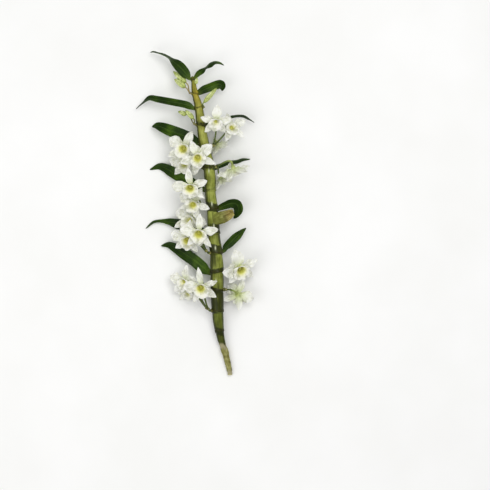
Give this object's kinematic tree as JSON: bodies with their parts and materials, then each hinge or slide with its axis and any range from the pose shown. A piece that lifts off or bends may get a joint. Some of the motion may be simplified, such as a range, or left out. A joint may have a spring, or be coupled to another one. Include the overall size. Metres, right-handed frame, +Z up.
{
  "type": "dendrobium orchid stem",
  "caption": "Cut dendrobium orchid stem lying on its back: a jointed green cane with strap-shaped leaves, sprays of white flowers and closed buds near the tip.",
  "frame": {"origin": "middle of the stem's bounding box in plan, on the surface that it lies on", "axes": "+Y along the stem towards its tip, +Z up and out of the flowers' faces, +X to the right when looked down on with the tip at the top"},
  "size_m": [0.1826, 0.4894, 0.077],
  "materials": {
    "cane": "waxy, olive green, semi-matt",
    "leaf": "leathery dark green with a low gloss",
    "sheath": "dry and papery, tan",
    "stalk": "smooth, olive brown",
    "bud": "waxy pale lime",
    "petal": "soft white, faintly translucent"
  },
  "bodies": {
    "root": {"cane": "cane", "dry_sheath": "sheath", "leaf_left_1": "leaf", "leaf_right_1": "leaf", "leaf_left_2": "leaf", "leaf_right_2": "leaf", "leaf_left_3": "leaf", "leaf_right_3": "leaf", "leaf_left_4": "leaf", "leaf_right_4": "leaf", "leaf_left_5": "leaf", "leaf_right_5": "leaf", "leaf_left_6": "leaf", "leaf_right_6": "leaf", "bloom_a1": "petal", "bloom_a2": "petal", "bloom_a3": "petal", "bloom_b1": "petal", "bloom_b2": "petal", "bloom_b3": "petal", "bloom_c1": "petal", "bloom_c2": "petal", "bloom_d1": "petal", "bloom_d2": "petal", "bloom_e1": "petal", "bloom_e2": "petal", "bloom_e3": "petal", "bloom_f1": "petal", "bloom_f2": "petal", "bloom_f3": "petal", "bloom_g1": "petal", "bloom_g2": "petal", "bud_left_1": "bud", "bud_left_2": "bud", "bud_right": "bud", "bud_left_3": "bud", "bud_left_4": "bud", "bud_top": "bud", "stalk_a": "stalk", "stalk_b": "stalk", "stalk_c": "stalk", "stalk_d": "stalk", "stalk_e": "stalk", "stalk_f": "stalk", "stalk_g": "stalk", "stalk_h": "stalk", "bud_stalk_left": "stalk", "bud_stalk_right": "stalk", "bud_stalk_low": "stalk"}
  },
  "joints": []
}
